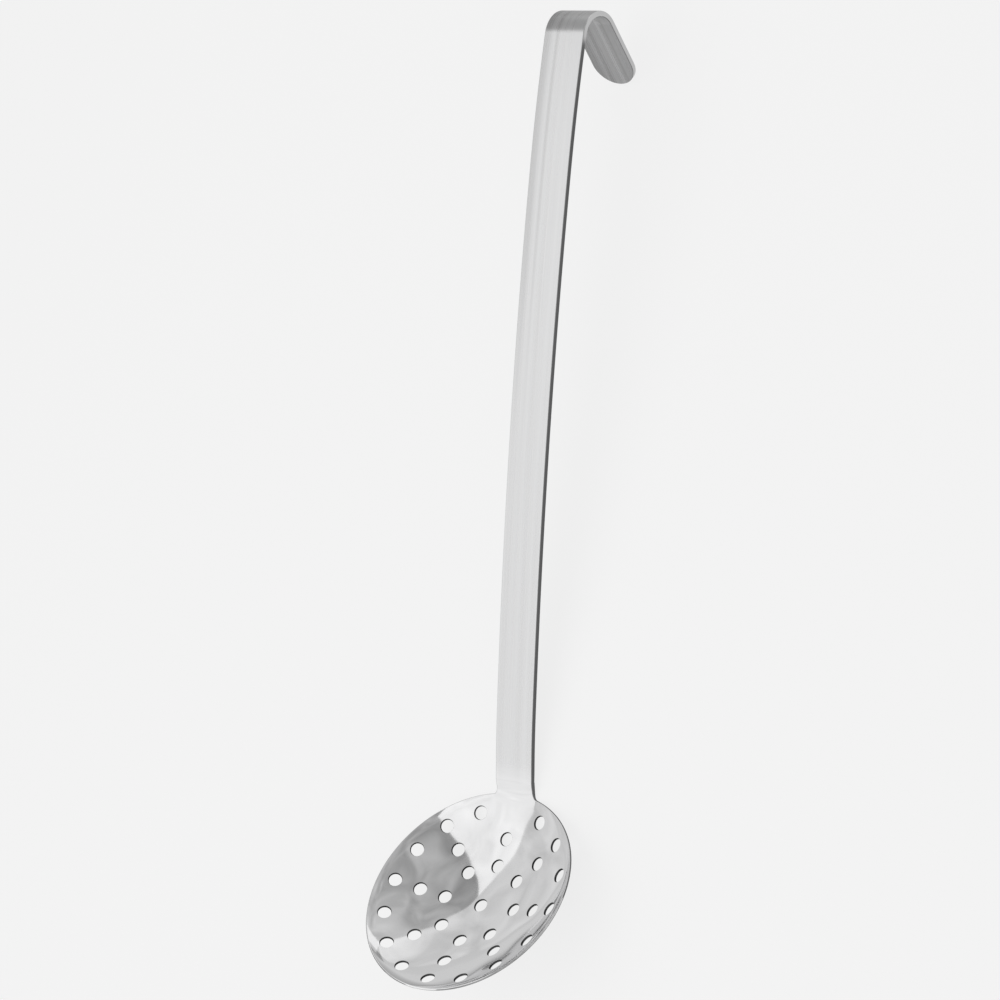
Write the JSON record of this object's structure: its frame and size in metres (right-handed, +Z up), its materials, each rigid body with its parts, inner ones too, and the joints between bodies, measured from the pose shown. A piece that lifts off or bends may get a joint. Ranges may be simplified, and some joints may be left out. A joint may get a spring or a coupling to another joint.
{
  "type": "skimmer",
  "caption": "Shallow round perforated dish on a long flat strap handle that ends in a bent hanging hook, pressed from stainless steel in one piece.",
  "frame": {"origin": "on the table under the middle of the skimmer's overall length and width, as it lies on its dish and the tip of its hook", "axes": "+Z up, +X along the handle from the dish to the hook, +Y across the handle"},
  "size_m": [0.4321, 0.1008, 0.0506],
  "materials": {
    "steel": "polished dish, lengthwise brushed strap"
  },
  "bodies": {
    "root": {"skimmer_body": "steel"}
  },
  "joints": []
}
